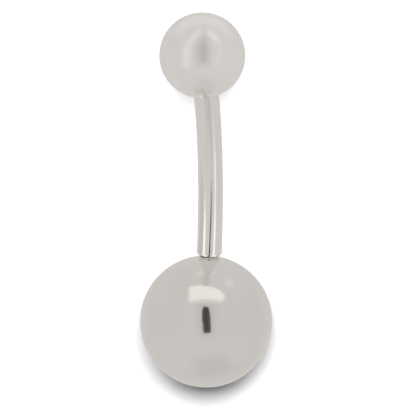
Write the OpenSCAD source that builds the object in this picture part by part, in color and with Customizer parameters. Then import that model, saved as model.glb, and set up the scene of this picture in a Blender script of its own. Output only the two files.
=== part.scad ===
// Navel ring: a curved round bar with a small ball at its upper end and a large
// ball at its lower end. It lies on a flat surface as it would by itself, on both
// balls with the bar's bend hanging down between them.
// Millimetres, +Z up, long side along Y with the small ball at +Y. The origin is
// on the surface, below the middle of the length.

/* [Balls] */
// Diameter of the small ball, which screws on at the upper end
upper_ball_d = 5.1; // [4.4:0.1:6.4]
// Diameter of the large ball at the lower end
lower_ball_d = 8.0; // [7:0.1:10]
// Width of the flat seat that shows round the bar's end face
seat_rim = 0.06; // [0.02:0.01:0.15]
// Gap between a ball's flat seat and the bar's end face
seat_gap = 0.05; // [0.02:0.01:0.15]

/* [Curved bar] */
// Thickness of the round bar
bar_d = 1.5; // [1.4:0.05:2]
// Straight distance between the bar's two end faces
bar_span = 11; // [8:0.5:14]
// Angle between the axes of the bar's two ends
bend_angle = 36; // [20:1:44]
// Width of the 45 degree chamfer round each end face
end_chamfer = 0.16; // [0.06:0.01:0.2]

/* [Screw pins] */
// Diameter of the turned-down pin at each end of the bar
pin_d = 1.0; // [0.6:0.05:1.1]
// Length of each pin, from the bar's end face to its tip
pin_length = 2.2; // [1.5:0.1:2.8]
// Chamfer at the tip of each pin
pin_tip_chamfer = 0.15; // [0.05:0.01:0.25]
// Clearance all round a pin in its ball
pin_clearance = 0.03; // [0.01:0.01:0.08]
// Room between a pin's tip and the end of its straight bore
bore_room = 0.3; // [0.1:0.05:0.5]

/* [Hidden] */
$fn = 96;

// Point angle of the drill that made the blind bores
drill_point = 118;

// The bar: an arc whose two ends lean up by half the bend
half_bend = bend_angle / 2;
bend_r = bar_span / 2 / sin(half_bend);
end_face_r = bar_d / 2 - end_chamfer;

// The trimming tool reaches past the bar's surface by this much
trim_reach = end_chamfer + bar_d / 4;
overrun = trim_reach / 2 / bend_r * 180 / PI;

// The balls: how far each centre lies beyond the bar's end face
seat_r = end_face_r + seat_rim;
bore_r = pin_d / 2 + pin_clearance;
bore_depth = pin_length + bore_room;
function centre_reach(ball_d) = seat_gap + sqrt(pow(ball_d / 2, 2) - pow(seat_r, 2));

// Ball centres as [y, z] before the ring leans onto its balls, measured from the
// middle of the span
function centre_beyond(side, ball_d) =
    [side * (bar_span / 2 + centre_reach(ball_d) * cos(half_bend)),
     centre_reach(ball_d) * sin(half_bend)];
upper_centre = centre_beyond(1, upper_ball_d);
lower_centre = centre_beyond(-1, lower_ball_d);

// The lean that brings both balls down to the same surface
centre_line = upper_centre - lower_centre;
radius_step = (lower_ball_d - upper_ball_d) / 2;
lean = asin(radius_step / norm(centre_line)) + atan2(centre_line[1], centre_line[0]);
function leaned(p) = [p[0] * cos(lean) + p[1] * sin(lean), p[1] * cos(lean) - p[0] * sin(lean)];
lower_rest = leaned(lower_centre);
upper_rest = leaned(upper_centre);
rest_y = -(lower_rest[0] - lower_ball_d / 2 + upper_rest[0] + upper_ball_d / 2) / 2;
rest_z = lower_ball_d / 2 - lower_rest[1];

// Puts the ring, drawn about the middle of its span, down on the surface
module at_rest() {
    translate([0, rest_y, rest_z]) rotate([-lean, 0, 0]) children();
}

// Puts what is drawn along +Z from an end face onto the upper (1) or lower (-1) end
module at_end(side) {
    translate([0, side * bar_span / 2, 0])
        rotate([-side * (90 - half_bend), 0, 0]) children();
}

// The bar's plain arc, a little longer than the span at both ends
module bar_arc() {
    translate([0, 0, bend_r * cos(half_bend)]) rotate([0, 90, 0])
        rotate([0, 0, -half_bend - overrun])
            rotate_extrude(angle = bend_angle + 2 * overrun)
                translate([bend_r, 0]) circle(d = bar_d);
}

// What is turned away at an end: all beyond the face, and the chamfer round it
module end_trim() {
    rotate_extrude() polygon([
        [0, 0],
        [end_face_r, 0],
        [end_face_r + trim_reach, -trim_reach],
        [bar_d, -trim_reach],
        [bar_d, trim_reach],
        [0, trim_reach],
    ]);
}

// The pin that holds a ball, rooted inside the bar
module screw_pin() {
    rotate_extrude() polygon([
        [0, -bar_d / 2],
        [pin_d / 2, -bar_d / 2],
        [pin_d / 2, pin_length - pin_tip_chamfer],
        [pin_d / 2 - pin_tip_chamfer, pin_length],
        [0, pin_length],
    ]);
}

// What is cut from a ball: the cap below its flat seat, and the drilled blind bore
module seat_and_bore() {
    rotate_extrude() polygon([
        [0, -bar_d],
        [bar_d, -bar_d],
        [bar_d, seat_gap],
        [bore_r, seat_gap],
        [bore_r, bore_depth],
        [0, bore_depth + bore_r / tan(drill_point / 2)],
    ]);
}

// A solid ball, seated on the end face that it is drawn from
module drilled_ball(ball_d) {
    difference() {
        translate([0, 0, centre_reach(ball_d)]) sphere(d = ball_d);
        seat_and_bore();
    }
}

module curved_bar() {
    color([0.80, 0.78, 0.75]) at_rest() {
        difference() {
            bar_arc();
            at_end(1) end_trim();
            at_end(-1) end_trim();
        }
        at_end(1) screw_pin();
        at_end(-1) screw_pin();
    }
}

module upper_ball() {
    color([0.84, 0.82, 0.79]) at_rest() at_end(1) drilled_ball(upper_ball_d);
}

module lower_ball() {
    color([0.80, 0.78, 0.76]) at_rest() at_end(-1) drilled_ball(lower_ball_d);
}

curved_bar();
upper_ball();
lower_ball();
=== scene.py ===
"""A navel ring: a curved bar with a small and a large ball, lying on its two balls on a pale studio floor.

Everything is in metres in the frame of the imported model: +Y along the ring towards its small ball, +Z up, and
the origin on the floor below the middle of the length. Sizes in this file are in millimetres until they are
built.
"""
from __future__ import annotations

import logging
import math
from dataclasses import dataclass, replace
from enum import Enum
from typing import Any, Iterable, Sequence

import bmesh
import bpy
from bpy.types import ID, Collection, Material, Mesh, Node, NodeSocket, NodeTree, Object
from mathutils import Matrix, Vector


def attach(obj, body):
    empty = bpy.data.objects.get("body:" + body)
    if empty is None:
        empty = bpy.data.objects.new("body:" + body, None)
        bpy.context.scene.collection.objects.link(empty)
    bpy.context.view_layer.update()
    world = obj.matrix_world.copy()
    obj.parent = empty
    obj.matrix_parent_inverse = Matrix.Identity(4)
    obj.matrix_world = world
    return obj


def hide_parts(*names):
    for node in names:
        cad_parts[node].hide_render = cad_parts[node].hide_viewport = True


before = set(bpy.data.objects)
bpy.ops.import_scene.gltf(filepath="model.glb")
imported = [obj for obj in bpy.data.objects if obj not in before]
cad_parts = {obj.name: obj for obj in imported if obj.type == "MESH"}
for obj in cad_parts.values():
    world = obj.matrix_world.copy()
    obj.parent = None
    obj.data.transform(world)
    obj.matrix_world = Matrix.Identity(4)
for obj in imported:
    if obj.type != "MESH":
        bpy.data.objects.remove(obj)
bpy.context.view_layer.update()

MM = 0.001
UM = 0.000001
LOG = logging.getLogger("navel_ring")


# Helpers


def srgb(hex_colour: str) -> tuple[float, float, float, float]:
    """Turns an sRGB hex value to linear.

    Args:
        hex_colour: Six hex digits after a hash sign.

    Returns:
        The linear red, green, blue and an alpha of 1.
    """
    parts = (int(hex_colour[at:at + 2], 16) / 255 for at in (1, 3, 5))
    linear = [p / 12.92 if p <= 0.04045 else ((p + 0.055) / 1.055) ** 2.4 for p in parts]
    return (linear[0], linear[1], linear[2], 1.0)


def empty_tree(owner: ID) -> NodeTree:
    """Switches on the nodes of a material, a world or a light, and clears them."""
    owner.use_nodes = True
    owner.node_tree.nodes.clear()
    return owner.node_tree


def add_node(tree: NodeTree, kind: str, inputs: dict[str | int, Any] | None = None, **settings: Any) -> Node:
    """Adds a node with its settings, its input values and its links.

    Args:
        tree: The tree that takes the node.
        kind: Blender's name of the node's type.
        inputs: For each input, by name or number, a value, the output that feeds it, or the node whose first
            output does. A list holds all that an input joins.
        **settings: The node's own properties.

    Returns:
        The node.
    """
    node = tree.nodes.new(kind)
    for name, value in settings.items():
        setattr(node, name, value)
    for key, given in (inputs or {}).items():
        for value in given if isinstance(given, list) else [given]:
            source = value.outputs[0] if isinstance(value, Node) else value
            if isinstance(source, NodeSocket):
                tree.links.new(source, node.inputs[key])
            else:
                node.inputs[key].default_value = source
    return node


def shown(name: str, mesh: Mesh) -> Object:
    """Puts a mesh in the scene as an object at the origin.

    Args:
        name: The object's name.
        mesh: Its mesh.

    Returns:
        The object.
    """
    piece = bpy.data.objects.new(name, mesh)
    bpy.context.scene.collection.objects.link(piece)
    return piece


def group(name: str, members: Iterable[Object]) -> Collection:
    """Gathers objects for a lamp's links.

    Args:
        name: The collection's name.
        members: The objects.

    Returns:
        The collection.
    """
    collection = bpy.data.collections.new(name)
    for member in members:
        collection.objects.link(member)
    return collection


# Sizes


class End(Enum):
    """The bar's two ends, each with its side along the length."""

    UPPER = 1
    LOWER = -1


@dataclass(frozen=True)
class RingSizes:
    """The ring's sizes in millimetres and degrees, as its solids have them."""

    upper_ball_d: float = 5.1
    lower_ball_d: float = 8.0
    seat_rim: float = 0.06
    seat_gap: float = 0.05
    bar_d: float = 1.5
    bar_span: float = 11.0
    bend_angle: float = 36.0
    end_chamfer: float = 0.16
    pin_d: float = 1.0
    pin_length: float = 2.2
    pin_tip_chamfer: float = 0.15
    pin_clearance: float = 0.03
    bore_room: float = 0.3
    drill_point: float = 118.0

    @property
    def half_bend(self) -> float:
        """The lean of each end against the span, in radians."""
        return math.radians(self.bend_angle / 2)

    @property
    def bend_r(self) -> float:
        """Radius of the bar's centre line."""
        return self.bar_span / 2 / math.sin(self.half_bend)

    @property
    def end_face_r(self) -> float:
        """Radius of the bar's flat end faces."""
        return self.bar_d / 2 - self.end_chamfer

    @property
    def pin_run(self) -> float:
        """Length of a pin's full thickness, from the bar's end face to its tip's chamfer."""
        return self.pin_length - self.pin_tip_chamfer

    @property
    def seat_r(self) -> float:
        """Radius of the balls' flat seats."""
        return self.end_face_r + self.seat_rim

    def ball_d(self, end: End) -> float:
        """Diameter of the ball at an end."""
        return self.upper_ball_d if end is End.UPPER else self.lower_ball_d

    def centre_reach(self, end: End) -> float:
        """How far a ball's centre lies beyond the bar's end face."""
        return self.seat_gap + math.sqrt((self.ball_d(end) / 2) ** 2 - self.seat_r ** 2)

    def centre_beyond(self, end: End) -> Vector:
        """A ball's centre before the ring leans, measured from the middle of the span."""
        reach = self.centre_reach(end)
        along = self.bar_span / 2 + reach * math.cos(self.half_bend)
        return Vector((0, end.value * along, reach * math.sin(self.half_bend)))

    @property
    def lean(self) -> float:
        """The turn that brings both balls down to the floor, in radians."""
        line = self.centre_beyond(End.UPPER) - self.centre_beyond(End.LOWER)
        radius_step = (self.lower_ball_d - self.upper_ball_d) / 2
        return math.asin(radius_step / line.length) + math.atan2(line.z, line.y)

    def at_rest(self) -> Matrix:
        """Works out how the ring lies.

        Returns:
            The matrix from the middle of the span to the floor, in millimetres.
        """
        turn = Matrix.Rotation(-self.lean, 4, "X")
        lower, upper = (turn @ self.centre_beyond(end) for end in (End.LOWER, End.UPPER))
        rest_y = -(lower.y - self.lower_ball_d / 2 + upper.y + self.upper_ball_d / 2) / 2
        return Matrix.Translation((0, rest_y, self.lower_ball_d / 2 - lower.z)) @ turn

    def at_end(self, end: End) -> Matrix:
        """Works out where an end face is.

        Args:
            end: Which end.

        Returns:
            The matrix that puts what is drawn along +Z from an end face in its place, in millimetres.
        """
        tip = Matrix.Rotation(-end.value * (math.pi / 2 - self.half_bend), 4, "X")
        return self.at_rest() @ Matrix.Translation((0, end.value * self.bar_span / 2, 0)) @ tip


# Finishes


@dataclass(frozen=True)
class SteelFinish:
    """Bright 316L steel, whose tone and gloss vary a little over its surface.

    The variation follows noises, which lie mostly between noise_low and noise_high.
    """

    name: str
    colour: str
    roughness: float
    haze: float = 0.02
    tone: float = 0.02
    noise_low: float = 0.3
    noise_high: float = 0.7

    def metal(self, tree: NodeTree, toning: Node, hazing: Node, normal: Node) -> None:
        """Adds the metal and the material's output.

        Args:
            tree: The material's tree.
            toning: The noise that makes the metal darker and lighter.
            hazing: The noise that makes it glossier and duller.
            normal: The normal, with the surface's relief.
        """
        base = srgb(self.colour)[:3]
        darker, lighter = (tuple(part * (1 + side * self.tone) for part in base) + (1.0,) for side in (-1, 1))
        span = {"From Min": self.noise_low, "From Max": self.noise_high}
        gloss = {"To Min": self.roughness - self.haze, "To Max": self.roughness + self.haze}
        share, roughness = (
            add_node(tree, "ShaderNodeMapRange", {**span, **values}, interpolation_type="SMOOTHSTEP")
            for values in ({"Value": toning}, {"Value": hazing, **gloss})
        )
        colour = add_node(tree, "ShaderNodeMix", {0: share, 6: darker, 7: lighter}, data_type="RGBA")
        steel = add_node(
            tree, "ShaderNodeBsdfPrincipled",
            {"Base Color": colour.outputs[2], "Metallic": 1.0, "Roughness": roughness, "Normal": normal},
        )
        add_node(tree, "ShaderNodeOutputMaterial", {"Surface": steel})


@dataclass(frozen=True)
class BuffedSteelFinish(SteelFinish):
    """316L steel, turned and then buffed while it spins on its pin.

    Its reflections are clear but a little hazy, and waver slightly. Up close faint rings run round the screw
    axis. Real buffing rings are finer, so these are drawn as coarse as they need to be to show.
    """

    tone_mm: float = 2.5
    smear_mm: float = 1.47
    wave_mm: float = 0.7
    wave_height_um: float = 0.5
    ring_mm: float = 0.06
    ring_length_mm: float = 1.5
    ring_height_um: float = 0.02

    def build(self, to_piece: Matrix) -> Material:
        """Makes the material.

        Args:
            to_piece: From the object's frame to the ball's own, in metres, with the ball's centre at zero and
                its screw axis on Z.

        Returns:
            The material.
        """
        material = bpy.data.materials.new(self.name)
        tree = empty_tree(material)
        place = add_node(tree, "ShaderNodeTexCoord").outputs["Object"]
        own = add_node(
            tree, "ShaderNodeMapping",
            {"Vector": place, "Location": to_piece.to_translation(), "Rotation": to_piece.to_euler()},
        )
        stretch = self.ring_mm / self.ring_length_mm
        round_axis = add_node(tree, "ShaderNodeMapping", {"Vector": own, "Scale": (stretch, stretch, 1.0)})
        cloud, smear, wave, ring = (
            add_node(
                tree, "ShaderNodeTexNoise",
                {"Vector": vector, "Scale": 1 / (size * MM), "Detail": detail, "Roughness": rough},
            )
            for vector, size, detail, rough in (
                (own, self.tone_mm, 3.0, 0.5),
                (own, self.smear_mm, 4.0, 0.6),
                (own, self.wave_mm, 2.0, 0.5),
                (round_axis, self.ring_mm, 2.0, 0.6),
            )
        )
        soft = add_node(
            tree, "ShaderNodeBump", {"Height": wave, "Distance": self.wave_height_um * UM, "Strength": 1.0}
        )
        fine = add_node(
            tree, "ShaderNodeBump",
            {"Height": ring, "Distance": self.ring_height_um * UM, "Strength": 1.0, "Normal": soft},
        )
        self.metal(tree, cloud, smear, fine)
        return material


@dataclass(frozen=True)
class DrawnSteelFinish(SteelFinish):
    """316L steel wire, drawn through a die, bent and tumbled bright.

    Fine straight draw lines run along the bar, so its reflections stretch into clean stripes. Real draw lines
    are finer, so these are drawn as wide as they need to be to show.
    """

    line_mm: float = 0.07
    line_length_mm: float = 4.0
    line_height_um: float = 0.05

    def build(self) -> Material:
        """Makes the material, which reads the bar's own run attribute.

        Returns:
            The material.
        """
        material = bpy.data.materials.new(self.name)
        tree = empty_tree(material)
        run = add_node(tree, "ShaderNodeAttribute", attribute_name=CurvedBar.RUN).outputs["Vector"]
        stretch = self.line_mm / self.line_length_mm
        drawn = add_node(tree, "ShaderNodeMapping", {"Vector": run, "Scale": (1.0, 1.0, stretch)})
        line = add_node(
            tree, "ShaderNodeTexNoise",
            {"Vector": drawn, "Scale": 1 / (self.line_mm * MM), "Detail": 3.0, "Roughness": 0.6},
        )
        bump = add_node(
            tree, "ShaderNodeBump", {"Height": line, "Distance": self.line_height_um * UM, "Strength": 1.0}
        )
        self.metal(tree, line, line, bump)
        return material


# The ring


@dataclass
class CurvedBar:
    """The bar: a round wire bent to an arc, with a chamfered face and a threaded pin at each end."""

    sizes: RingSizes
    finish: DrawnSteelFinish
    name: str = "navel_ring_bar"
    thread_pitch: float = 0.25
    thread_depth: float = 0.1
    around: int = 96
    arc_points: int = 241
    face_rings: int = 3
    rings_per_turn: int = 10
    weld: float = 0.012
    sharp_angle: float = 25.0

    # The attribute that holds each point's place across the wire and along it
    RUN = "bar_run"

    def numbers(self) -> dict[str, float]:
        """The tree's number inputs, by name, in metres and radians or as shares of the arc."""
        sizes = self.sizes
        bend = math.radians(sizes.bend_angle)
        trim = sizes.end_chamfer / (sizes.bend_r * bend)
        lengths = {
            "Bend Radius": sizes.bend_r,
            "Arc Lift": sizes.bend_r * math.cos(sizes.half_bend),
            "Bar Radius": sizes.bar_d / 2,
            "Face Radius": sizes.end_face_r,
            "Chamfer": sizes.end_chamfer,
            "Chamfer Foot": -sizes.end_chamfer,
            "Pin Radius": sizes.pin_d / 2,
            "Pin Run": sizes.pin_run,
            "Pin Length": sizes.pin_length,
            "Tip Chamfer": sizes.pin_tip_chamfer,
            "Tip Radius": sizes.pin_d / 2 - sizes.pin_tip_chamfer,
            "Thread Pitch": self.thread_pitch,
            "Thread Depth": self.thread_depth,
        }
        turns = {"Bend Angle": bend, "Arc Start": -math.pi / 2 - sizes.half_bend}
        shares = {"Trim Start": trim, "Trim End": 1 - trim}
        return {name: length * MM for name, length in lengths.items()} | turns | shares

    def tree(self) -> NodeTree:
        """Builds the Geometry Nodes tree that makes the bar from its sizes.

        Returns:
            The tree, with the sizes as named inputs.
        """
        tree = bpy.data.node_groups.new("curved_bar_rule", "GeometryNodeTree")
        face = tree.interface
        face.new_socket("Geometry", in_out="INPUT", socket_type="NodeSocketGeometry")
        for name in self.numbers():
            face.new_socket(name, in_out="INPUT", socket_type="NodeSocketFloat")
        for name in ("Rest Place", "Rest Turn"):
            face.new_socket(name, in_out="INPUT", socket_type="NodeSocketVector")
        face.new_socket("Steel", in_out="INPUT", socket_type="NodeSocketMaterial")
        face.new_socket("Geometry", in_out="OUTPUT", socket_type="NodeSocketGeometry")
        given = add_node(tree, "NodeGroupInput").outputs

        arc = self.arc(tree, given)
        fitting = self.end_fitting(tree, given)
        parts = [self.wire(tree, given, arc), *(self.on_end(tree, arc, fitting, end) for end in End)]
        joined = add_node(tree, "GeometryNodeJoinGeometry", {0: parts})
        placed = add_node(
            tree, "GeometryNodeTransform",
            {"Geometry": joined, "Translation": given["Rest Place"], "Rotation": given["Rest Turn"]},
        )
        real = add_node(tree, "GeometryNodeRealizeInstances", {0: placed})
        whole = add_node(tree, "GeometryNodeMergeByDistance", {"Geometry": real, "Distance": self.weld * MM})
        smooth = add_node(tree, "GeometryNodeSetShadeSmooth", {"Geometry": whole}, domain="FACE")
        angle = add_node(tree, "GeometryNodeInputMeshEdgeAngle").outputs["Unsigned Angle"]
        corner = add_node(
            tree, "ShaderNodeMath", {0: angle, 1: math.radians(self.sharp_angle)}, operation="GREATER_THAN"
        )
        sharp = add_node(
            tree, "GeometryNodeSetShadeSmooth",
            {"Geometry": smooth, "Selection": corner, "Shade Smooth": False}, domain="EDGE",
        )
        last = add_node(tree, "GeometryNodeSetMaterial", {"Geometry": sharp, "Material": given["Steel"]})
        add_node(tree, "NodeGroupOutput", {0: last})
        return tree

    def arc(self, tree: NodeTree, given: Any) -> Node:
        """Adds the bar's centre line, in the YZ plane, with the middle of its span at the origin.

        Args:
            tree: The bar's tree.
            given: The outputs of its Group Input.

        Returns:
            The node that gives the curve.
        """
        flat = add_node(
            tree, "GeometryNodeCurveArc",
            {
                "Resolution": self.arc_points, "Radius": given["Bend Radius"],
                "Start Angle": given["Arc Start"], "Sweep Angle": given["Bend Angle"],
            },
            mode="RADIUS",
        )
        centre = add_node(tree, "ShaderNodeCombineXYZ", {"Z": given["Arc Lift"]})
        return add_node(
            tree, "GeometryNodeTransform",
            {"Geometry": flat, "Translation": centre, "Rotation": (math.pi / 2, 0, math.pi / 2)},
        )

    def wire(self, tree: NodeTree, given: Any, arc: Node) -> Node:
        """Adds the round wire between the chamfers, with its run attribute.

        Args:
            tree: The bar's tree.
            given: The outputs of its Group Input.
            arc: The bar's centre line.

        Returns:
            The node that gives the wire's surface.
        """
        middle = add_node(
            tree, "GeometryNodeTrimCurve",
            {"Curve": arc, 2: given["Trim Start"], 3: given["Trim End"]}, mode="FACTOR",
        )
        line = add_node(tree, "GeometryNodeCaptureAttribute", {"Geometry": middle})
        line.capture_items.new("FLOAT", "along")
        tree.links.new(add_node(tree, "GeometryNodeSplineParameter").outputs["Length"], line.inputs["along"])
        circle = add_node(
            tree, "GeometryNodeCurvePrimitiveCircle",
            {"Resolution": self.around, "Radius": given["Bar Radius"]}, mode="RADIUS",
        )
        section = add_node(tree, "GeometryNodeCaptureAttribute", {"Geometry": circle})
        section.capture_items.new("VECTOR", "across")
        tree.links.new(add_node(tree, "GeometryNodeInputPosition").outputs[0], section.inputs["across"])
        tube = add_node(tree, "GeometryNodeCurveToMesh", {"Curve": line, "Profile Curve": section})
        along = add_node(tree, "ShaderNodeCombineXYZ", {"Z": line.outputs["along"]})
        run = add_node(
            tree, "ShaderNodeVectorMath", {0: section.outputs["across"], 1: along}, operation="ADD"
        )
        return add_node(
            tree, "GeometryNodeStoreNamedAttribute", {"Geometry": tube, "Name": self.RUN, "Value": run},
            data_type="FLOAT_VECTOR", domain="POINT",
        )

    def on_end(self, tree: NodeTree, arc: Node, fitting: Node, end: End) -> Node:
        """Sets an end fitting on one end of the arc.

        Args:
            tree: The bar's tree.
            arc: The bar's centre line, which runs from the lower to the upper end.
            fitting: The fitting, drawn along +Z from its end face.
            end: Which end.

        Returns:
            The node that gives the fitting in its place.
        """
        tangent = add_node(tree, "GeometryNodeInputTangent")
        normal = add_node(tree, "GeometryNodeInputNormal")
        outward = add_node(
            tree, "ShaderNodeVectorMath", {0: tangent, "Scale": float(end.value)}, operation="SCALE"
        )
        turn = add_node(
            tree, "FunctionNodeAxesToRotation", {0: outward, 1: normal}, primary_axis="Z", secondary_axis="X"
        )
        at_start = end is End.LOWER
        chosen = add_node(
            tree, "GeometryNodeCurveEndpointSelection",
            {"Start Size": int(at_start), "End Size": int(not at_start)},
        )
        return add_node(
            tree, "GeometryNodeInstanceOnPoints",
            {"Points": arc, "Selection": chosen, "Instance": fitting, "Rotation": turn},
        )

    def end_fitting(self, tree: NodeTree, given: Any) -> Node:
        """Adds what is turned on one end of the wire: the chamfer, the end face and the threaded pin.

        Args:
            tree: The bar's tree.
            given: The outputs of its Group Input.

        Returns:
            The node that gives the fitting, drawn along +Z from the end face.
        """
        bar_r, face_r, pin_r, tip_r = (given[f"{part} Radius"] for part in ("Bar", "Face", "Pin", "Tip"))
        pin_rings = round(self.sizes.pin_run / self.thread_pitch * self.rings_per_turn)
        pin = self.stretch(tree, pin_r, pin_r, given["Pin Run"], 0.0, pin_rings)
        cap = add_node(
            tree, "GeometryNodeMeshCircle", {"Vertices": self.around, "Radius": tip_r},
            fill_type="TRIANGLE_FAN",
        )
        parts = [
            self.stretch(tree, bar_r, face_r, given["Chamfer"], given["Chamfer Foot"]),
            self.stretch(tree, face_r, pin_r, 0.0, 0.0, self.face_rings),
            self.thread(tree, given, pin),
            self.stretch(tree, pin_r, tip_r, given["Tip Chamfer"], given["Pin Run"]),
            self.lifted(tree, cap, given["Pin Length"]),
        ]
        joined = add_node(tree, "GeometryNodeJoinGeometry", {0: parts})
        place = add_node(tree, "GeometryNodeInputPosition")
        return add_node(
            tree, "GeometryNodeStoreNamedAttribute", {"Geometry": joined, "Name": self.RUN, "Value": place},
            data_type="FLOAT_VECTOR", domain="POINT",
        )

    def stretch(self, tree: NodeTree, bottom: Any, top: Any, depth: Any, height: Any, rings: int = 1) -> Node:
        """Adds one straight or conical stretch of an end fitting.

        Args:
            tree: The bar's tree.
            bottom: Its radius at the bottom.
            top: Its radius at the top.
            depth: Its height.
            height: How far its bottom lies above the end face.
            rings: How many rings of faces it has.

        Returns:
            The node that gives the open tube.
        """
        tube = add_node(
            tree, "GeometryNodeMeshCone",
            {
                "Vertices": self.around, "Side Segments": rings, "Radius Bottom": bottom, "Radius Top": top,
                "Depth": depth,
            },
            fill_type="NONE",
        )
        return self.lifted(tree, tube, height)

    def lifted(self, tree: NodeTree, part: Node, height: Any) -> Node:
        """Lifts a part of an end fitting above the end face, by a height or the output that gives it."""
        lift = add_node(tree, "ShaderNodeCombineXYZ", {"Z": height})
        return add_node(tree, "GeometryNodeTransform", {"Geometry": part, "Translation": lift})

    def thread(self, tree: NodeTree, given: Any, pin: Node) -> Node:
        """Cuts a screw thread into a pin, which fades out at both ends of its run.

        Args:
            tree: The bar's tree.
            given: The outputs of its Group Input.
            pin: The plain pin, standing on the end face.

        Returns:
            The node that gives the threaded pin.
        """
        pitch, run, kind = given["Thread Pitch"], given["Pin Run"], "ShaderNodeMath"
        place = add_node(tree, "GeometryNodeInputPosition")
        axes = add_node(tree, "ShaderNodeSeparateXYZ", {0: place}).outputs

        # How deep the groove is at each point, from 0 on the crest to 1 in the root
        angle = add_node(tree, kind, {0: axes["Y"], 1: axes["X"]}, operation="ARCTAN2")
        turn = add_node(tree, kind, {0: angle, 1: 2 * math.pi}, operation="DIVIDE")
        rise = add_node(tree, kind, {0: axes["Z"], 1: pitch}, operation="DIVIDE")
        coil = add_node(tree, kind, {0: rise, 1: turn}, operation="SUBTRACT")
        phase = add_node(tree, kind, {0: coil}, operation="FRACT")
        swing = add_node(tree, kind, {0: phase, 1: 2.0, 2: -1.0}, operation="MULTIPLY_ADD")
        groove = add_node(tree, kind, {0: swing}, operation="ABSOLUTE")

        # How much of it is left near the ends of the run
        rest = add_node(tree, kind, {0: run, 1: axes["Z"]}, operation="SUBTRACT")
        rest = add_node(tree, kind, {0: rest, 1: pitch}, operation="DIVIDE")
        fade = add_node(tree, kind, {0: rise, 1: rest}, operation="MULTIPLY")
        fade = add_node(tree, kind, {0: fade, 1: 1.0}, operation="MINIMUM")

        share = add_node(tree, kind, {0: given["Thread Depth"], 1: given["Pin Radius"]}, operation="DIVIDE")
        cut = add_node(tree, kind, {0: groove, 1: fade}, operation="MULTIPLY")
        cut = add_node(tree, kind, {0: cut, 1: share}, operation="MULTIPLY")
        scale = add_node(tree, kind, {0: 1.0, 1: cut}, operation="SUBTRACT")
        shrink = add_node(tree, "ShaderNodeCombineXYZ", {"X": scale, "Y": scale, "Z": 1.0})
        moved = add_node(tree, "ShaderNodeVectorMath", {0: place, 1: shrink}, operation="MULTIPLY")
        return add_node(tree, "GeometryNodeSetPosition", {"Geometry": pin, "Position": moved})

    def build(self) -> Object:
        """Makes the bar, dresses it and sets it on its body.

        Returns:
            The finished object.
        """
        seed = shown("bar_seed", bpy.data.meshes.new("bar_seed"))
        modifier = seed.modifiers.new("bar", "NODES")
        tree = self.tree()
        modifier.node_group = tree
        values: dict[str, Any] = dict(self.numbers())
        values["Rest Place"] = self.sizes.at_rest().to_translation() * MM
        values["Rest Turn"] = Vector((-self.sizes.lean, 0, 0))
        values["Steel"] = self.finish.build()
        for item in tree.interface.items_tree:
            if item.in_out == "INPUT" and item.name in values:
                modifier[item.identifier] = values[item.name]
        seed.update_tag()
        seen = seed.evaluated_get(bpy.context.evaluated_depsgraph_get())
        mesh = bpy.data.meshes.new_from_object(seen)
        seed.modifiers.clear()
        bpy.data.objects.remove(seed)
        mesh.name = self.name
        face_outwards(mesh)
        bar = shown(self.name, mesh)
        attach(bar, "bar")
        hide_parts("curved_bar")
        return bar


def face_outwards(mesh: Mesh, doubles: float = 0.0005) -> None:
    """Merges a closed mesh's doubles and turns its faces outwards.

    Args:
        mesh: The mesh, which is changed in place.
        doubles: How far apart two points may be and still be one, in millimetres.
    """
    work = bmesh.new()
    work.from_mesh(mesh)
    bmesh.ops.remove_doubles(work, verts=work.verts, dist=doubles * MM)
    bmesh.ops.recalc_face_normals(work, faces=work.faces)
    if work.calc_volume(signed=True) < 0:
        bmesh.ops.reverse_faces(work, faces=work.faces)
    work.to_mesh(mesh)
    work.free()


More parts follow.
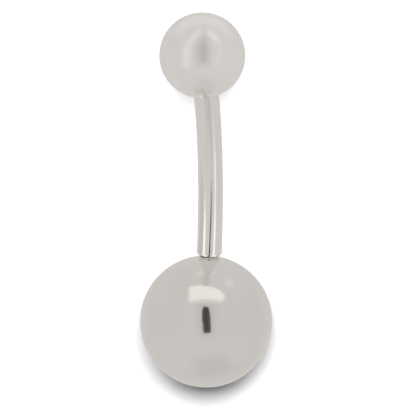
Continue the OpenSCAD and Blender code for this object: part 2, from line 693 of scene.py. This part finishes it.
@dataclass
class DrilledBall:
    """A turned ball with a flat seat and a blind bore, screwed on one end of the bar."""

    sizes: RingSizes
    end: End
    name: str
    body: str
    slot: str
    node: str
    finish: BuffedSteelFinish
    around: int = 192
    ring_step: float = 1.5
    sharp_angle: float = 6.0

    def profile(self) -> list[tuple[float, float]]:
        """Draws half of the ball's section.

        Returns:
            Each point's radius and height above the bar's end face, from the far pole to the bore's point.
        """
        sizes = self.sizes
        radius, reach = sizes.ball_d(self.end) / 2, sizes.centre_reach(self.end)
        seat_turn = 180 - math.degrees(math.asin(sizes.seat_r / radius))
        rings = round(seat_turn / self.ring_step)
        turns = (math.radians(seat_turn * at / rings) for at in range(rings + 1))
        outside = [(radius * math.sin(turn), reach + radius * math.cos(turn)) for turn in turns]
        bore_r = sizes.pin_d / 2 + sizes.pin_clearance
        bore_end = sizes.pin_length + sizes.bore_room
        point = bore_end + bore_r / math.tan(math.radians(sizes.drill_point / 2))
        return [*outside, (bore_r, sizes.seat_gap), (bore_r, bore_end), (0.0, point)]

    def mesh(self) -> Mesh:
        """Turns the section round the screw axis to a closed mesh, with one point on the axis at each pole.

        Returns:
            The mesh, in place.
        """
        place = Matrix.Scale(MM, 4) @ self.sizes.at_end(self.end)
        work = bmesh.new()
        rings: list[list[bmesh.types.BMVert]] = []
        for radius, height in self.profile():
            turns = (2 * math.pi * at / self.around for at in range(self.around if radius > 0 else 1))
            rings.append([
                work.verts.new(place @ Vector((radius * math.cos(turn), radius * math.sin(turn), height)))
                for turn in turns
            ])
        for one, other in zip(rings, rings[1:]):
            for at in range(self.around):
                following = (at + 1) % self.around
                corners = [
                    one[at % len(one)], one[following % len(one)],
                    other[following % len(other)], other[at % len(other)],
                ]
                work.faces.new(list(dict.fromkeys(corners)))
        bmesh.ops.recalc_face_normals(work, faces=work.faces)
        mesh = bpy.data.meshes.new(self.name)
        work.to_mesh(mesh)
        work.free()
        mesh.shade_smooth()
        mesh.set_sharp_from_angle(angle=math.radians(self.sharp_angle))
        return mesh

    def build(self) -> Object:
        """Makes the ball, dresses it and sets it on its body.

        Returns:
            The finished object.
        """
        mesh = self.mesh()
        centre = self.sizes.at_end(self.end) @ Matrix.Translation((0, 0, self.sizes.centre_reach(self.end)))
        centre.translation *= MM
        mesh.materials.append(self.finish.build(centre.inverted()))
        ball = shown(self.name, mesh)
        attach(ball, self.body)
        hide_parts(self.node)
        return ball


# The studio


@dataclass(frozen=True)
class PhotoCamera:
    """The camera at the photograph's angle to the ring, above the floor over its small ball.

    Distances are in millimetres and angles in degrees: tip is towards the small ball, and turn is about the
    ring's length.
    """

    distance: float = 300.0
    tip: float = 23.92
    turn: float = 11.97
    roll: float = 1.16
    aim_across: float = -0.007
    aim_along: float = -2.337
    pixels_per_mm: float = 16.615
    picture: int = 416
    sensor: float = 36.0
    near_m: float = 0.01
    far_m: float = 100.0

    def place(self, sizes: RingSizes) -> Matrix:
        """Works out where the camera stands.

        Args:
            sizes: The ring's sizes, which say how it lies.

        Returns:
            The camera's matrix, in millimetres.
        """
        tip, turn, roll = (math.radians(a) for a in (self.tip, self.turn, self.roll))
        right = Vector((math.cos(roll), -math.sin(roll) * math.cos(tip), math.sin(roll) * math.sin(tip)))
        up = Vector((math.sin(roll), math.cos(roll) * math.cos(tip), -math.cos(roll) * math.sin(tip)))
        back = Vector((0, math.sin(tip), math.cos(tip)))
        axes = Matrix((right, up, back)).transposed().to_4x4()
        stand = Vector((self.aim_across, self.aim_along, 0)) + back * self.distance
        return sizes.at_rest() @ Matrix.Rotation(turn, 4, "Y") @ Matrix.Translation(stand) @ axes

    def build(self, sizes: RingSizes) -> Matrix:
        """Adds the camera.

        Args:
            sizes: The ring's sizes.

        Returns:
            The camera's matrix, in metres.
        """
        lens = bpy.data.cameras.new("photo_camera")
        lens.sensor_width = self.sensor
        lens.lens = self.pixels_per_mm * self.distance / self.picture * self.sensor
        lens.clip_start, lens.clip_end = self.near_m, self.far_m
        camera = bpy.data.objects.new("photo_camera", lens)
        bpy.context.scene.collection.objects.link(camera)
        matrix = self.place(sizes)
        matrix.translation *= MM
        camera.matrix_world = matrix
        bpy.context.scene.camera = camera
        return matrix


@dataclass(frozen=True)
class TentPatch:
    """A lighter or darker patch of the light tent, convex, with its corners in degrees across and along.

    The corners run round to the left. The softness is that of the edges in turn, and starts over when it runs
    out. A patch is worn when its left edge is ragged, as a slit cut in cloth is.
    """

    name: str
    corners: Sequence[tuple[float, float]]
    softness: Sequence[float]
    gain: float
    worn: bool = False

    def mask(self, tree: NodeTree, place: Node) -> Node:
        """Adds the patch's own shape to a tree.

        Args:
            tree: The tree that takes the nodes.
            place: The node that gives a direction's place across and along the tent.

        Returns:
            The node that gives 1 inside the patch and 0 outside.
        """
        inside: Any = 1.0
        for at, (start, end) in enumerate(zip(self.corners, (*self.corners[1:], self.corners[0]))):
            edge = (Vector(end) - Vector(start)).normalized()
            inward = Vector((-edge.y, edge.x))
            level, soft = inward.dot(Vector(start)), self.softness[at % len(self.softness)]
            depth = add_node(
                tree, "ShaderNodeVectorMath", {0: place, 1: inward.to_3d()}, operation="DOT_PRODUCT"
            ).outputs["Value"]
            shade = add_node(
                tree, "ShaderNodeMapRange",
                {"Value": depth, "From Min": level - soft, "From Max": level + soft},
                interpolation_type="SMOOTHSTEP",
            )
            inside = add_node(tree, "ShaderNodeMath", {0: inside, 1: shade}, operation="MULTIPLY")
        return inside

    def box(self) -> tuple[float, float, float, float]:
        """The least and greatest place across, then along, with its soft edges."""
        across, along = zip(*self.corners)
        soft = max(self.softness)
        return min(across) - soft, max(across) + soft, min(along) - soft, max(along) + soft


def square(across: tuple[float, float], along: tuple[float, float]) -> tuple[tuple[float, float], ...]:
    """The corners of an upright patch, from its limits across and along."""
    return (across[0], along[0]), (across[1], along[0]), (across[1], along[1]), (across[0], along[1])


@dataclass
class LightTent:
    """The soft white tent round the ring, with a slit for the lens, and the lamps behind its cloth.

    A place in the tent is measured in degrees from the lens by the photo camera's axes: across to its right,
    and along upwards. A lamp is linked to single pieces, so each shows only the lights that it shows in the
    photograph. A worn edge wanders by a share of wear, in steps of wear_step, fully up to wear_full across
    and not at all from wear_from on.
    """

    axes: Matrix
    colour: str = "#FFFBF7"
    glow: float = 0.66
    lamp_distance: float = 10.0
    left_wall: TentPatch = TentPatch("left_wall", square((-90, -66), (-180, 60)), (5,), -0.15)
    back_wall: TentPatch = TentPatch("back_wall", square((-14, 28), (-112, -64)), (14,), -0.10)
    back_seam: TentPatch = TentPatch("back_seam", ((10, -90), (22, -90), (18, -50), (6, -50)), (5,), -0.11)
    slit_frame: TentPatch = TentPatch("slit_frame", square((-17, 17), (-26, 34)), (7,), -0.07)
    drop: TentPatch = TentPatch(
        "drop", ((-12, -30), (14, -30), (24, 5), (14, 38), (5, 60), (1, 60), (-15, 38), (-23, 5)), (6,), -0.07
    )
    core: TentPatch = TentPatch("core", square((3, 12), (-28, 60)), (4,), -0.12)
    slit: TentPatch = TentPatch(
        "slit",
        ((-4.5, -19.5), (7.6, -18.8), (8.4, -8), (6.8, 14), (4.0, 26), (-3.8, 27.5), (-7.2, 21), (-7.0, 0)),
        (1.0,), -0.9, worn=True,
    )
    slit_foot: TentPatch = TentPatch(
        "slit_foot", ((0.5, -39.0), (13.5, -39.0), (7.5, -19.6), (-5.5, -19.6)), (12, 2.5, 1, 2.5), -0.75
    )
    wear: float = 3.0
    wear_step: float = 6.0
    wear_full: float = -4.0
    wear_from: float = 2.0

    def build(self) -> None:
        """Sets the world to the tent."""
        world = bpy.data.worlds.new("light_tent")
        tree = empty_tree(world)
        place = self.place(tree, add_node(tree, "ShaderNodeTexCoord").outputs["Generated"])
        dark = (
            self.left_wall, self.back_wall, self.back_seam, self.slit_frame, self.drop, self.core, self.slit,
            self.slit_foot,
        )
        strength = self.held_back(tree, place, dark, self.glow)
        glow = add_node(tree, "ShaderNodeBackground", {"Color": srgb(self.colour), "Strength": strength})
        add_node(tree, "ShaderNodeOutputWorld", {"Surface": glow})
        bpy.context.scene.world = world

    def place(self, tree: NodeTree, direction: Node | NodeSocket) -> Node:
        """Turns a direction to its place in the tent.

        Args:
            tree: The tree that takes the nodes.
            direction: What gives the direction.

        Returns:
            The node that gives the place across and along, in degrees.
        """
        turn = self.axes.to_3x3().inverted().to_euler()
        own = add_node(tree, "ShaderNodeMapping", {"Vector": direction, "Rotation": turn})
        axes = add_node(tree, "ShaderNodeSeparateXYZ", {0: own}).outputs
        across = add_node(tree, "ShaderNodeMath", {0: axes["X"]}, operation="ARCSINE")
        along = add_node(tree, "ShaderNodeMath", {0: axes["Y"], 1: axes["Z"]}, operation="ARCTAN2")
        angles = add_node(tree, "ShaderNodeCombineXYZ", {"X": across, "Y": along})
        return add_node(
            tree, "ShaderNodeVectorMath", {0: angles, "Scale": math.degrees(1)}, operation="SCALE"
        )

    def shape(self, patch: TentPatch, tree: NodeTree, place: Node) -> Node:
        """Adds a patch's shape, a worn one's with its ragged left edge.

        Args:
            patch: The patch.
            tree: The tree that takes the nodes.
            place: The node that gives a direction's place across and along.

        Returns:
            The node that gives 1 inside the patch and 0 outside.
        """
        if patch.worn:
            axes = add_node(tree, "ShaderNodeSeparateXYZ", {0: place}).outputs
            span = {"From Min": self.wear_full, "From Max": self.wear_from}
            most = add_node(
                tree, "ShaderNodeMapRange", {"Value": axes["X"], **span, "To Min": self.wear, "To Max": 0.0},
                interpolation_type="SMOOTHSTEP",
            )
            rag = add_node(
                tree, "ShaderNodeTexNoise", {"W": axes["Y"], "Scale": 1 / self.wear_step, "Detail": 1.0},
                noise_dimensions="1D",
            )
            rag = add_node(tree, "ShaderNodeMath", {0: rag, 1: 0.5}, operation="SUBTRACT")
            rag = add_node(tree, "ShaderNodeMath", {0: rag, 1: most}, operation="MULTIPLY")
            shift = add_node(tree, "ShaderNodeCombineXYZ", {"X": rag})
            place = add_node(tree, "ShaderNodeVectorMath", {0: place, 1: shift}, operation="ADD")
        return patch.mask(tree, place)

    def held_back(self, tree: NodeTree, place: Node, patches: Iterable[TentPatch], light: Any) -> Any:
        """Takes from a light what dark patches hold back.

        Args:
            tree: The tree that takes the nodes.
            place: The node that gives a direction's place across and along.
            patches: The dark patches.
            light: The light, or the node that gives it.

        Returns:
            What is left of it.
        """
        for patch in patches:
            mask = self.shape(patch, tree, place)
            hole = add_node(
                tree, "ShaderNodeMath", {0: mask, 1: patch.gain, 2: 1.0}, operation="MULTIPLY_ADD"
            )
            light = add_node(tree, "ShaderNodeMath", {0: light, 1: hole}, operation="MULTIPLY")
        return light

    def facing(self, across: float, along: float) -> Matrix:
        """Works out how a lamp at a place of the tent faces the ring.

        Args:
            across: Its place across, in degrees.
            along: Its place along.

        Returns:
            The turn whose Z axis points from the ring to the lamp, and whose X axis runs across.
        """
        a, b = math.radians(across), math.radians(along)
        columns = (
            Vector((math.cos(a), -math.sin(a) * math.sin(b), -math.sin(a) * math.cos(b))),
            Vector((0.0, math.cos(b), -math.sin(b))),
            Vector((math.sin(a), math.cos(a) * math.sin(b), math.cos(a) * math.cos(b))),
        )
        return self.axes.to_3x3() @ Matrix(columns).transposed()

    def lamp(
        self,
        patch: TentPatch,
        lit: Iterable[Object],
        dark: Sequence[TentPatch] = (),
        shading: Iterable[Object] | None = None,
        plain: bool = False,
    ) -> None:
        """Adds a lamp in the shape of a patch.

        Args:
            patch: Its shape, and its light as a share of the tent's glow.
            lit: The pieces that it lights.
            dark: The dark patches that hold its light back.
            shading: The only pieces that can stand in its light, or None for all of them.
            plain: Whether it is an even rectangle, without the patch's soft edges.
        """
        left, right, low, high = patch.box()
        turn = self.facing((left + right) / 2, (low + high) / 2)
        reach = [0.0, 0.0]
        for one in (left, (left + right) / 2, right):
            for other in (low, (low + high) / 2, high):
                seen = turn.inverted() @ self.facing(one, other).col[2]
                reach = [max(size, abs(seen[at] / seen.z)) for at, size in enumerate(reach)]
        light = bpy.data.lights.new(patch.name, "AREA")
        light.shape = "RECTANGLE"
        light.size, light.size_y = (2 * size * self.lamp_distance for size in reach)
        light.color = srgb(self.colour)[:3]
        light.energy = patch.gain * self.glow * math.pi * light.size * light.size_y
        if not plain:
            tree = empty_tree(light)
            position = add_node(tree, "ShaderNodeNewGeometry").outputs["Position"]
            direction = add_node(tree, "ShaderNodeVectorMath", {0: position}, operation="NORMALIZE")
            place = self.place(tree, direction)
            strength = self.held_back(tree, place, dark, self.shape(patch, tree, place))
            glow = add_node(tree, "ShaderNodeEmission", {"Color": (1.0, 1.0, 1.0, 1.0), "Strength": strength})
            add_node(tree, "ShaderNodeOutputLight", {"Surface": glow})
        lamp = bpy.data.objects.new(patch.name, light)
        bpy.context.scene.collection.objects.link(lamp)
        lamp.matrix_world = Matrix.Translation(turn.col[2] * self.lamp_distance) @ turn.to_4x4()
        lamp.visible_camera = False
        lamp.light_linking.receiver_collection = group(f"lit_by_{patch.name}", lit)
        if shading is not None:
            lamp.light_linking.blocker_collection = group(f"shading_{patch.name}", shading)


@dataclass(frozen=True)
class StudioLamps:
    """The lamps behind the tent, by what they light.

    The neck lamp shines on the bar's lower chamfer, straight through the large ball. The floor has two lamps
    in one place: all pieces shade the first, and only the large ball shades the second, so its shadow is the
    darkest.
    """

    large_ball: Sequence[TentPatch] = (
        TentPatch("window", ((-29, 40.5), (27, 40.5), (31, 51), (21, 61), (-25, 70)), (2.5,), 0.42),
        TentPatch("window_foot", ((-28, 33), (26, 34), (29, 41), (-28, 41)), (2.5,), 0.14),
        TentPatch("glint", square((26, 36), (76, 94)), (4,), 0.10),
        TentPatch("crescent", ((-14, 88), (12, 94), (10, 102), (-10, 100)), (3,), 0.10),
    )
    small_ball: Sequence[TentPatch] = (
        TentPatch(
            "left_band", ((-50, -44), (-26, -50), (-29, 8), (-25, 40), (-36, 52), (-56, 14)), (6,), 0.17
        ),
        TentPatch("left_band_top", ((-36, 42), (-26, 34), (-2, 62), (-6, 76)), (5,), 0.22),
        TentPatch("right_glint", ((8, 60), (36, 40), (48, 40), (40, 54), (14, 72)), (4,), 0.28),
        TentPatch("right_band", ((36, -30), (50, -30), (54, 20), (44, 42), (36, 36)), (6,), 0.06),
        TentPatch("low_glow", square((14, 34), (-95, -62)), (8,), 0.05),
        TentPatch("top_glow", square((-45, 55), (91, 132)), (14,), 0.10),
    )
    bar: Sequence[TentPatch] = (
        TentPatch("left_strip", ((-64, -4), (-60, -44), (-41, -38), (-42.5, -4)), (2, 16, 2, 2), 0.66),
        TentPatch(
            "right_strip", ((35, -4), (34, -34), (50, -40), (53, -12), (53, -4)), (2, 8, 2, 2, 2), 0.64
        ),
        TentPatch("right_strip_middle", ((34, -34), (33, -62), (48, -68), (50, -40)), (2, 8, 2, 8), 0.36),
        TentPatch("right_strip_end", ((35, -62), (34, -80), (44, -84), (46, -68)), (2, 6, 2, 8), 0.10),
        TentPatch("slit_edge_left", ((-15, -10), (-4, -36), (2, -36), (-8, -10)), (2,), 0.24),
        TentPatch("slit_edge_right", ((9, -10), (17, -36), (23, -36), (14, -10)), (2,), 0.12),
    )
    neck: TentPatch = TentPatch("neck", square((-28, 25), (-129, -108)), (1,), 0.6)
    floor: TentPatch = TentPatch("floor", square((-9.3, 8.7), (3.6, 14.6)), (0.5,), 145.0)
    large_ball_shadow_gain: float = 207.0


@dataclass(frozen=True)
class StudioFloor:
    """The board that the ring lies on: a mid grey, lit so bright that it shows white as in the photograph.

    Its matt paint mirrors nothing. Reflections leave the board out, and it shades no lamp, because some lamps
    shine up from below it.
    """

    half_width: float = 1.5
    colour: str = "#949699"

    def build(self) -> Object:
        """Adds the floor.

        Returns:
            The floor.
        """
        side = self.half_width
        mesh = bpy.data.meshes.new("studio_floor")
        corners = [(-side, -side, 0), (side, -side, 0), (side, side, 0), (-side, side, 0)]
        mesh.from_pydata(corners, [], [(0, 1, 2, 3)])
        material = bpy.data.materials.new("matt_painted_board")
        tree = empty_tree(material)
        paint = add_node(tree, "ShaderNodeBsdfDiffuse", {"Color": srgb(self.colour)})
        add_node(tree, "ShaderNodeOutputMaterial", {"Surface": paint})
        mesh.materials.append(material)
        floor = shown("studio_floor", mesh)
        floor.visible_glossy = False
        floor.visible_shadow = False
        return floor


@dataclass(frozen=True)
class Studio:
    """The tent, its lamps and the floor, set up round the finished pieces."""

    tent: LightTent
    lamps: StudioLamps
    bar: Object
    small: Object
    large: Object
    slit_share: float = 5 / 6

    def build(self) -> None:
        """Sets up the whole studio, and shows its light as it is."""
        self.tent.build()
        self.light_pieces()
        self.make_good()
        self.light_floor()
        bpy.context.scene.view_settings.view_transform = "Standard"

    def light_pieces(self) -> None:
        """Adds the lamps that light single pieces."""
        lamps = self.lamps
        for piece, patches in (
            (self.bar, lamps.bar), (self.small, lamps.small_ball), (self.large, lamps.large_ball)
        ):
            for patch in patches:
                self.tent.lamp(patch, [piece])
        self.tent.lamp(lamps.neck, [self.bar], shading=[self.small], plain=True)

    def make_good(self) -> None:
        """Adds the fills, which give back to some pieces the light that a dark patch takes from all.

        A fill is held back by the dark patches that overlap its own. The slit's gives back slit_share of it.
        """
        tent, bar, small, large = self.tent, self.bar, self.small, self.large
        edge, drop, core, slit, foot = tent.slit_frame, tent.drop, tent.core, tent.slit, tent.slit_foot
        for patch, share, pieces, dark in (
            (tent.left_wall, 1.0, [small, large], ()),
            (tent.back_seam, 1.0, [small, large], (tent.back_wall,)),
            (drop, 1.0, [bar, large], (edge, slit, foot)),
            (core, 1.0, [bar, large], (edge, drop, slit, foot)),
            (foot, 1.0, [large], (edge, slit)),
            (foot, 1.0, [small], (edge, drop, core, slit)),
            (slit, self.slit_share, [small], (edge, drop, core)),
        ):
            tent.lamp(replace(patch, name=f"{patch.name}_fill", gain=-patch.gain * share), pieces, dark)

    def light_floor(self) -> None:
        """Adds the floor and its two lamps."""
        floor = StudioFloor().build()
        lamp = self.lamps.floor
        self.tent.lamp(lamp, [floor], plain=True)
        shadow_lamp = replace(lamp, name="large_ball_shadow", gain=self.lamps.large_ball_shadow_gain)
        self.tent.lamp(shadow_lamp, [floor], shading=[self.large], plain=True)


# The whole


def main() -> None:
    """Builds the ring and its studio."""
    logging.basicConfig(level=logging.INFO, format="%(name)s: %(message)s")
    LOG.info("the frame has %d nodes", len(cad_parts))
    sizes = RingSizes()
    camera = PhotoCamera().build(sizes)
    LOG.info("camera stands at %s", [round(v, 4) for v in camera.to_translation()])

    # Tumbled wire shines, but its draw lines stretch what it reflects
    wire = DrawnSteelFinish("drawn_316l_steel_tumbled_bright", "#F3F2F1", roughness=0.09)
    bar = CurvedBar(sizes, wire).build()
    # A soft buff blurs what the small ball reflects
    small = DrilledBall(
        sizes, End.UPPER, "navel_ring_small_ball", "small_ball", "upper_ball_metal", "upper_ball",
        BuffedSteelFinish("turned_316l_steel_soft_buffed", "#F9F8F7", roughness=0.24, ring_height_um=0.005),
    ).build()
    # A mirror buff keeps the edges of what the large ball reflects
    large = DrilledBall(
        sizes, End.LOWER, "navel_ring_large_ball", "bar", "lower_ball_metal", "lower_ball",
        BuffedSteelFinish("turned_316l_steel_mirror_buffed", "#EFEDEB", roughness=0.11),
    ).build()
    for piece in (bar, small, large):
        LOG.info("%s: %d faces", piece.name, len(piece.data.polygons))

    Studio(LightTent(camera), StudioLamps(), bar, small, large).build()
    LOG.info("studio built")


if __name__ == "__main__":
    main()
